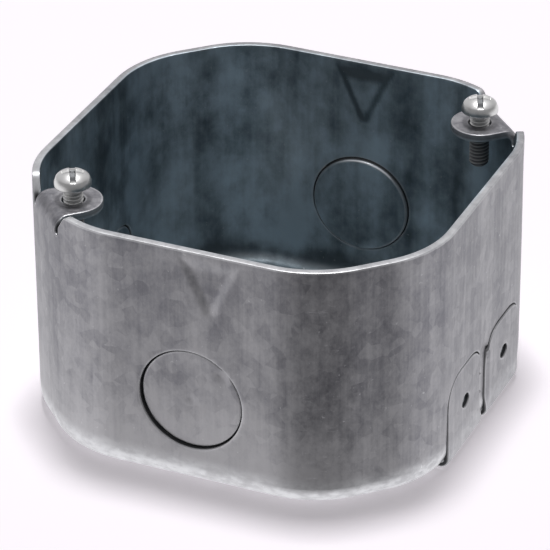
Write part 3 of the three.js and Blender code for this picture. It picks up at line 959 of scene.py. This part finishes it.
def slug_loop(radius, tie, shift):
    """A circle moved towards its tie, where it keeps a narrow bridge out to the wall. A negative
    inset is the torn part of the shear, which fills its hole."""
    turn = np.arange(120) * 2 * np.pi / 120
    off = (turn - tie + np.pi) % (2 * np.pi) - np.pi
    bridge = (TIE_REACH - shift) * np.exp(-((off / TIE_WIDTH) ** 4))
    reach = radius + SLUG_SPREAD + shift * np.cos(off) + bridge
    ring = unit_ring(120)
    return lambda inset: ring * np.where(inset < 0, KNOCKOUT - 0.03, reach - inset)[:, None]


def slug(name, node, place, tie, tip, shift):
    """A dished disc tipped about its tie, with a dent at its middle and at the tie, put in place
    by the given function."""
    low, high = box_mm(node)
    radius = (high - low).max() / 2

    def shape(flat, depth):
        far = np.hypot(flat[:, 0], flat[:, 1]) / radius
        away = 1 - (flat[:, 0] * np.cos(tie) + flat[:, 1] * np.sin(tie)) / radius
        nick = np.hypot(*(flat - 0.9 * radius * np.array([np.cos(tie), np.sin(tie)])).T)
        punch = 0.18 * np.exp(-((far * radius / 0.7) ** 2)) + 0.4 * np.exp(-((nick / 1.3) ** 2))
        deep = depth + tip * (away - 1) + 0.1 * (1 - far**2) + punch
        return place(flat, deep, (low + high) / 2, low, high)

    body = sheet_body([slug_loop(radius, tie, shift)], slug_fill(radius), shape, TORN)
    add_piece(name, body[0], body[1], "box", node, PUNCHED_ZINC,
              {"deep": body[2] / SHEET, "clear": body[3]})


def on_front(flat, deep, middle, low, high):
    """Upright, with its outer face towards low Y."""
    return np.column_stack([middle[0] + flat[:, 0], low[1] + deep, middle[2] + flat[:, 1]])


def on_back(flat, deep, middle, low, high):
    """Upright, with its outer face towards high Y."""
    return np.column_stack([middle[0] - flat[:, 0], high[1] - deep, middle[2] + flat[:, 1]])


def on_floor(flat, deep, middle, low, high):
    """Lying flat, with its outer face down."""
    return np.column_stack([middle[0] - flat[:, 0], middle[1] + flat[:, 1], low[2] + deep])


print("a torn edge has", len(TORN), "steps")

# %% [markdown]
# The two wall slugs are tipped further than the three in the floor, which the press flattens
# again. Each tie lies where the punch was ground away and left the sheet whole.

# %% Make the slugs
slug("slug_wall_front", "knockout_wall_front", on_front, math.radians(45), 0.3, 0.1)
slug("slug_wall_back", "knockout_wall_back", on_back, math.radians(-90), 0.25, 0.2)
for spot, tie in (("front", 90), ("center", 270), ("back", 270)):
    slug(f"slug_floor_{spot}", f"knockout_floor_{spot}", on_floor, math.radians(tie), 0.12, 0.1)

# %% [markdown]
# ## Pry-out tabs
#
# A pry-out is the part of the wall, bend and floor inside its own outline. It is formed by the
# same rule as the shell, only with a tighter bend, and has a small hole for a screwdriver's tip.
# Each leans out a little differently, as torn sheet does, so their shadow lines differ too.


# %% Make the tabs
TAB_BEND = 2.0
TAB_PUSH = 0.35
PRY_HOLE = np.array([2.0, 1.4])


def tab_fill(wall, middle):
    """Rows of points over the whole tab, closer over its bend."""
    rises = np.concatenate([np.arange(-6.5, 0.0, 0.9), np.arange(0.0, 3.2, 0.4),
                            np.arange(3.6, 22, 0.85)])
    a, r = np.meshgrid(middle + np.arange(-9.2, 9.3, 0.85), rises)
    return on_blank(wall, a.ravel(), r.ravel(), TAB_BEND)


def tab(name, node, wall, middle, top_push):
    """The tab's outline with its oblong pry hole, formed and leaning a little out of the wall:
    by its full push at the foot and by top_push at the top."""
    outline = pryout_path(middle, 0.3, TAB_BEND)[::-1]
    inward = path_normals(outline, True)
    hole = unit_ring(32, -1)
    centre = np.array([middle + 0.2, rise_of(11.0, TAB_BEND)])
    loops = [lambda inset: on_blank(wall, *(outline + inward * inset).T, TAB_BEND),
             lambda inset: on_blank(wall, *(centre + hole * (PRY_HOLE + max(inset, 0))).T, TAB_BEND)]

    def shape(flat, depth):
        points = formed(flat, depth, TAB_BEND)
        push = TAB_PUSH + (top_push - TAB_PUSH) * smooth(points[:, 2:] / PRYOUT_TOP)
        return points + np.append(OUT[wall], 0.0) * push

    body = sheet_body(loops, tab_fill(wall, middle), shape, TORN)
    add_piece(name, body[0], body[1], "box", node, PUNCHED_ZINC,
              {"deep": body[2] / SHEET, "clear": body[3]})


tab("tab_right_front", "pryout_right_front", 0, PRYOUT_CENTRES[0], 0.05)
tab("tab_right_back", "pryout_right_back", 0, PRYOUT_CENTRES[1], 0.35)
tab("tab_left_back", "pryout_left_back", 4, PRYOUT_CENTRES[0], 0.1)
tab("tab_left_front", "pryout_left_front", 4, PRYOUT_CENTRES[1], 0.25)

# %% [markdown]
# ## Machine screws
#
# Each screw is a round head with a slot and a cross recess over a rolled thread. The recess could
# be cut with a Boolean, but the head is simpler as a thick disc: its top is the lowest of a dome
# and the recess floors, with creases in the fill either side of every recess wall.

# %% Screw head
HEAD = 3.8
HEAD_HEIGHT = 3.05


def dome(x, y):
    """The head without its recess: half an ellipsoid on a short straight edge."""
    return 0.7 + (HEAD_HEIGHT - 0.7) * np.sqrt(np.clip(1 - (x**2 + y**2) / HEAD**2, 0, 1))


def head_top(x, y):
    """Height of the head: the dome, and in it the slot and the tapering arms of the cross."""
    slot = np.where(np.abs(y) < 0.575, HEAD_HEIGHT - 1.15, 9.0)
    reach = np.maximum(np.abs(x), np.abs(y))
    arm = (np.minimum(np.abs(x), np.abs(y)) < 0.6) & (reach < 2.1)
    cross = np.where(arm, HEAD_HEIGHT - 2.0 + 0.35 * np.maximum(reach - 0.8, 0), 9.0)
    return np.minimum(dome(x, y), np.minimum(slot, cross))


def head_creases():
    """Pairs of lines either side of every recess wall."""
    lines = []
    along = np.linspace(-3.55, 3.55, 60)
    for side in (-1, 1):
        for off in (0.60, 0.55):
            lines.append(np.column_stack([along, np.full(60, side * off)]))
        arm = np.linspace(0.72, 2.2, 14) * side
        for edge in (-0.62, -0.575, 0.575, 0.62):
            lines.append(np.column_stack([np.full(14, edge), arm]))
    return lines


def head_body():
    """A disc from the underside up to the top, with the dome's steep edge well divided."""
    radii = HEAD * np.sin(np.linspace(0.04, 0.49, 22) * np.pi)
    profile = np.array([[0.0, 0.0], [0.0, 0.35], [0.0, 0.75], [0.12, 1.0]])

    def shape(flat, depth):
        top = head_top(flat[:, 0], flat[:, 1])
        return np.column_stack([flat, top * (1 - depth)])

    loops = [lambda inset: unit_ring(96) * (HEAD - inset)]
    return sheet_body(loops, ring_grid(radii, 96), shape, profile, head_creases())


print("head height at its middle and at its edge:", head_top(0.0, 0.0), head_top(HEAD, 0.6))

# %% [markdown]
# The shank is one grid of turns and heights, and its radius follows a triangle wave that climbs
# one pitch each turn. Spinning a profile with a Screw modifier would give the same thread, but
# here the runout under the head and the point are part of the formula.

# %% Thread
SCREW = 2.08
PITCH = 0.79375
COVER_SHANK = 12.6
SADDLE_SHANK = 7.6


def shank_body(length):
    """Radius against height and turn, from inside the head down to the point."""
    rows = int(length / PITCH * 12)
    height = np.linspace(0.4, -length, rows)[:, None]
    turn = np.linspace(0, 2 * np.pi, 48, endpoint=False)[None, :]
    phase = (height / PITCH - turn / (2 * np.pi)) % 1.0
    depth = 0.44 * smooth(1.25 * (1 - np.abs(2 * phase - 1)) - 0.1)
    runout = smooth((-height - 0.2) / 0.9)
    radius = SCREW - depth * runout
    radius = np.minimum(radius, SCREW - 0.75 + np.maximum(height + length, 0) * 1.0)
    points = np.stack([radius * np.cos(turn), radius * np.sin(turn),
                       np.broadcast_to(height, radius.shape)], 2).reshape(-1, 3)
    index = np.arange(rows * 48).reshape(rows, 48)
    low, high = index[:-1], index[1:]
    quads = [low, np.roll(low, -1, 1), np.roll(high, -1, 1), high]
    a, b, c, d = (q.ravel() for q in quads)
    faces = [np.column_stack([a, b, c]), np.column_stack([a, c, d])]
    ends = np.array([[0, 0, 0.4], [0, 0, -length - 0.15]])
    for row, apex in ((index[0], len(points)), (index[-1], len(points) + 1)):
        faces.append(np.column_stack([row, np.roll(row, -1), np.full(48, apex)]))
    # Painted shade for the finish: darker in the thread valleys, and darker still further down the
    # shank, away from the head.
    painted_thread_shade = 0.12 + 0.8 * depth * runout + 0.45 * smooth((-height - 3.5) / 3)
    painted_thread_shade = np.broadcast_to(painted_thread_shade, radius.shape).ravel()
    return np.vstack([points, ends]), np.vstack(faces), np.append(painted_thread_shade, [0.1, 0.1])


print("turns of thread:", round(COVER_SHANK / PITCH, 1), "and", round(SADDLE_SHANK / PITCH, 1))

# %% [markdown]
# All four screws have the same head and thread and differ in length. Each is turned by its own
# angle, because no two screws stop at the same place, and hangs from the top of its plain screw.


# %% Make the screws
def screw(name, node, length, turned):
    """Head and shank joined in one mesh, turned, and stood where the plain screw stands."""
    low, high = box_mm(node)
    head = head_body()
    shank = shank_body(length)
    points = np.vstack([head[0], shank[0]])
    faces = np.vstack([head[1], shank[1] + len(head[0])])
    x, y, z = head[0].T
    # Painted shade for the finish: in the recess by how far it sinks below the dome, on the
    # underside of the head by a fixed amount, and on the shank as its painted thread shade.
    sunk = np.concatenate([np.where(z > 0.9, dome(x, y) - z, 0.25 * (z < 0.1)), shank[2]])
    c, s = math.cos(math.radians(turned)), math.sin(math.radians(turned))
    points = points @ np.array([[c, s, 0], [-s, c, 0], [0, 0, 1]])
    middle = (low + high) / 2
    points = points + [middle[0], middle[1], high[2] - HEAD_HEIGHT]
    add_piece(name, points, faces, node, node, SCREW_PLATE, {"deep": sunk})


screw("machine_screw_left", "cover_screw_left", COVER_SHANK, 118)
screw("machine_screw_right", "cover_screw_right", COVER_SHANK, 112)
screw("saddle_screw_left", "clamp_screw_left", SADDLE_SHANK, 35)
screw("saddle_screw_right", "clamp_screw_right", SADDLE_SHANK, 160)

# %% [markdown]
# ## Cable clamps
#
# A clamp is a saddle of the same kind of sheet. Its blank has two toothed lips on the wall side
# and a leg at each end, all bent down along straight lines, and the middle arches over the
# cables. It is formed like the shell: a flat blank first, then a formula that bends it.

# %% Forming of a clamp
CLAMP_HALF = 20.5
CLAMP_WIDE = 7.0
LEG_HALF = 5.5
LAND = 4.6
ARCH = 1.4
CLAMP_BEND = 2.2
LIPS = (-10.7, 10.7)
LIP_HALF = 6.5
PLATE_TOP = 11.9
LIP_TIP = 7.3
LEG_FOOT = 5.9


def arch(v):
    """Height of the saddle's top along its length: flat land, then half a cosine."""
    share = (np.abs(v) - LAND) / ((CLAMP_HALF - LAND) / 2)
    return PLATE_TOP + np.where(share > 0, ARCH * (1 - np.cos(share * np.pi)) / 2, 0)


def bent(distance, depth, top):
    """Distance across and height after a bend down that starts at distance 0."""
    turn = np.clip(distance / CLAMP_BEND, 0, np.pi / 2)
    below = np.maximum(distance - CLAMP_BEND * np.pi / 2, 0)
    inner = CLAMP_BEND - depth
    across = np.where(distance < 0, distance, inner * np.sin(turn))
    return across, top - CLAMP_BEND + inner * np.cos(turn) - below


def clamp_shape(flat, depth):
    """Lips bend down past one line, legs past another, and the rest follows the arch."""
    u, v = flat.T
    top = arch(v)
    lip_line = CLAMP_WIDE - CLAMP_BEND
    leg_line = CLAMP_HALF - CLAMP_BEND
    lip = (np.abs(np.abs(v) - LIPS[1]) < LIP_HALF + 0.12) & (u > lip_line)
    leg = np.abs(v) > leg_line
    across, lip_height = bent(np.where(lip, u - lip_line, -1.0), depth, top)
    run, leg_height = bent(np.where(leg, np.abs(v) - leg_line, -1.0), depth, arch(CLAMP_HALF))
    x = np.where(lip, lip_line + across, u)
    y = np.where(leg, np.sign(v) * (leg_line + run), v)
    z = np.where(lip, lip_height, np.where(leg, leg_height, top - depth))
    return np.column_stack([x, y, z])


print("clamp top and end of a leg:", clamp_shape(np.array([[0.0, 0.0], [0.0, 25.5]]), 0.0).round(2))

# %% [markdown]
# The outline of the blank is drawn for one half and mirrored. Its teeth bite a cable's sheath, so
# their depth is worked out after the bend, from the height that their tips should have.


# %% Clamp blank
def lip_edge(middle):
    """The toothed edge of one lip: a zigzag of five teeth on the bent-down blank."""
    v = middle + np.linspace(-LIP_HALF, LIP_HALF, 11)
    tooth = np.where(np.arange(11) % 2, 0.9, 0.0)
    drop = arch(v) - CLAMP_BEND - (LIP_TIP + 0.9 - tooth)
    reach = CLAMP_WIDE - CLAMP_BEND + CLAMP_BEND * math.pi / 2 + drop
    return np.column_stack([reach, v])


def clamp_outline():
    """Anticlockwise: up the toothed front edge, across a leg, down the back, across the other."""
    notch = CLAMP_WIDE - CLAMP_BEND - 0.2
    leg_end = CLAMP_HALF - CLAMP_BEND + CLAMP_BEND * math.pi / 2
    leg_end += arch(np.array(CLAMP_HALF)) - CLAMP_BEND - LEG_FOOT
    shoulder = CLAMP_HALF - CLAMP_BEND - 0.3
    near, far = LIPS[1] - LIP_HALF, LIPS[1] + LIP_HALF
    half = [(CLAMP_WIDE, 0.0), (CLAMP_WIDE, near - 0.5), (notch, near - 0.5), (notch, near)]
    half += lip_edge(LIPS[1]).tolist()
    half += [(notch, far), (notch, shoulder), (LEG_HALF, shoulder), (LEG_HALF, leg_end)]
    half += [(-LEG_HALF, leg_end), (-LEG_HALF, shoulder), (-CLAMP_WIDE, shoulder)]
    half = np.array(half)
    other = half[::-1] * [1, -1]
    return np.vstack([half, other[:-1]])


print("clamp blank in mm:", np.ptp(clamp_outline(), axis=0).round(1))

# %% [markdown]
# Both clamps are the same piece, and the left one is turned half round, which the factors of side
# do without turning the object. Each rides on its own body, so it closes with its screw.


# %% Make the clamps
def clamp(name, node, side):
    """The clamp's blank with its screw hole, formed, and turned to its side of the box."""
    low, high = box_mm(node)
    middle = (low + high) / 2
    corners = clamp_outline()
    path = walk(np.vstack([corners, corners[:1]]), 0.45)[:-1]
    inward = path_normals(path, True)
    u, v = np.meshgrid(np.arange(-6.8, 14, 0.6), np.arange(-27.5, 27.6, 0.6))
    fill = np.column_stack([u.ravel(), v.ravel()])

    def shape(flat, depth):
        points = clamp_shape(flat, depth)
        return points * [side, side, 1] + [middle[0], middle[1], 0]

    loops = [lambda inset: path + inward * inset, round_hole(0.0, 0.0, 2.4, 32)]
    body = sheet_body(loops, fill, shape, edge_profile(0.2, 0.1))
    add_piece(name, body[0], body[1], node, node, CLAMP_ZINC,
              {"deep": body[2] * 0, "clear": body[3]})


clamp("saddle_right", "cable_clamp_right", 1)
clamp("saddle_left", "cable_clamp_left", -1)

# %% [markdown]
# ## Floor
#
# The box stands on a white sweep. It could be a bare square, but a wide gentle dish runs out of
# every view without an edge. It is hidden from reflections, as a photographer would block it, or
# it would fill the lower walls with white.


# %% Floor
FLOOR_RADIUS = 9000


def studio_floor():
    """A wide disc that curls up slowly far from the object: height grows with the cube of the
    distance past two metres."""
    radius = np.linspace(0, 1, 40)[:, None] ** 1.5 * FLOOR_RADIUS
    turn = np.linspace(0, 2 * np.pi, 64, endpoint=False)[None, :]
    lift = np.maximum(radius - 2000, 0) ** 3 / 4e8
    points = np.stack([radius * np.cos(turn), radius * np.sin(turn),
                       np.broadcast_to(lift - 0.02, (40, 64))], 2).reshape(-1, 3)
    index = np.arange(40 * 64).reshape(40, 64)
    low, high = index[:-1], index[1:]
    quads = np.stack([low, high, np.roll(high, -1, 1), np.roll(low, -1, 1)], 2).reshape(-1, 4)
    mesh = bpy.data.meshes.new("studio_floor")
    mesh.from_pydata((points * MM).tolist(), [], quads.tolist())
    mesh.shade_smooth()
    floor = bpy.data.objects.new("studio_floor", mesh)
    bpy.context.scene.collection.objects.link(floor)
    made = Finish("white paper sweep", 0.0)
    fibre = made.noise((0.02, 0.02, 0.02), 3)
    made.feed(made.shader, {
        "Base Color": made.tint(fibre, (0.92, 0.875, 0.925, 1), (0.95, 0.905, 0.955, 1)),
        "Roughness": 0.85 + fibre * 0.1})
    made.shader.inputs["Emission Color"].default_value = (1.0, 0.95, 1.0, 1)
    made.shader.inputs["Emission Strength"].default_value = 0.36
    mesh.materials.append(made.material)
    floor.visible_glossy = False
    print("floor radius:", FLOOR_RADIUS * MM, "m")


studio_floor()

# %% [markdown]
# ## Light
#
# Satin metal shows what surrounds it more than what shines on it. So the light is a surround for
# the reflections, pale with one dim patch, which gives the walls their dark corner, and a single
# soft panel above, which lights the floor and throws the shadow.


# %% Light
def surround():
    """A pale surround with a bright low band behind, and a dim patch on the camera's side."""
    world = bpy.data.worlds.new("studio surround")
    bpy.context.scene.world = world
    world.use_nodes = True
    sky = Nodes(world.node_tree)
    way = sky.node("ShaderNodeTexCoord", {}, {}, "Generated")
    level = sky.node("ShaderNodeVectorMath", {"operation": "MULTIPLY"}, {0: way, 1: (1, 1, 0)})
    level = sky.node("ShaderNodeVectorMath", {"operation": "NORMALIZE"}, {0: level})
    facing = sky.node("ShaderNodeVectorMath", {"operation": "DOT_PRODUCT"},
                      {0: level, 1: (0.5, -0.866, 0.0)}, "Value")
    up = sky.node("ShaderNodeSeparateXYZ", {}, {"Vector": way}, "Z")
    behind = (facing * -1).ramp(-0.2, 0.8)
    above = 0.25 + up.ramp(0.4, 0.9) * 0.35 + behind * (1 - up.ramp(0.5, 0.85)) * 0.3
    below = 1.0 - facing.ramp(0.35, 1.0) * 0.86 * up.ramp(-0.85, -0.6)
    strength = below + up.ramp(-0.05, 0.05) * (above - below)
    world.cycles_visibility.diffuse = False
    background = world.node_tree.nodes["Background"]
    sky.feed(background, {"Color": (1.0, 0.99, 1.02, 1), "Strength": strength})
    print("nodes in the surround:", len(world.node_tree.nodes))


def panel(name, place, size, power, colour):
    """A square area light that faces the object; its lengths are in metres."""
    data = bpy.data.lights.new(name, "AREA")
    data.size = size
    data.energy = power
    data.color = colour
    lamp = bpy.data.objects.new(name, data)
    bpy.context.scene.collection.objects.link(lamp)
    lamp.location = place
    aim = Vector((0, 0, 0.03)) - Vector(place)
    lamp.rotation_euler = aim.to_track_quat("-Z", "Y").to_euler()
    print(name, "gives", power, "W from", size, "m across")


surround()
panel("soft panel above", (-0.07, 0.16, 1.5), 0.28, 15.3, (1.0, 0.995, 1.0))
bpy.context.scene.view_settings.view_transform = "Standard"

# %% [markdown]
# ## Camera
#
# A product view is taken with a long lens from well back, so that upright edges stay nearly
# parallel. The camera is placed by its direction and distance from the point it looks at, which
# lies a little beside the middle of the box.

# %% Camera
AZIMUTH = 23.76
ELEVATION = 29.84
ROLL = -0.31
DISTANCE = 0.8055
LENS = 254.9
AIM = Vector((0, 0, 0.027))
AIM_LEFT = 0.00117
AIM_DOWN = 0.00172


def studio_camera():
    """Stands off the aim along the azimuth and elevation, in degrees; lengths are in metres."""
    a, e = math.radians(AZIMUTH), math.radians(ELEVATION)
    back = Vector((math.sin(a) * math.cos(e), -math.cos(a) * math.cos(e), math.sin(e)))
    right = Vector((math.cos(a), math.sin(a), 0))
    target = AIM - right * AIM_LEFT - back.cross(right) * AIM_DOWN
    data = bpy.data.cameras.new("studio camera")
    data.lens = LENS
    data.sensor_width = 36
    data.clip_start = 0.01
    data.clip_end = 60
    camera = bpy.data.objects.new("studio camera", data)
    bpy.context.scene.collection.objects.link(camera)
    camera.location = target + back * DISTANCE
    camera.rotation_euler = (-back).to_track_quat("-Z", "Y").to_euler()
    camera.rotation_euler.rotate_axis("Z", math.radians(ROLL))
    bpy.context.scene.camera = camera
    print("camera in metres:", [round(v, 3) for v in camera.location])


studio_camera()
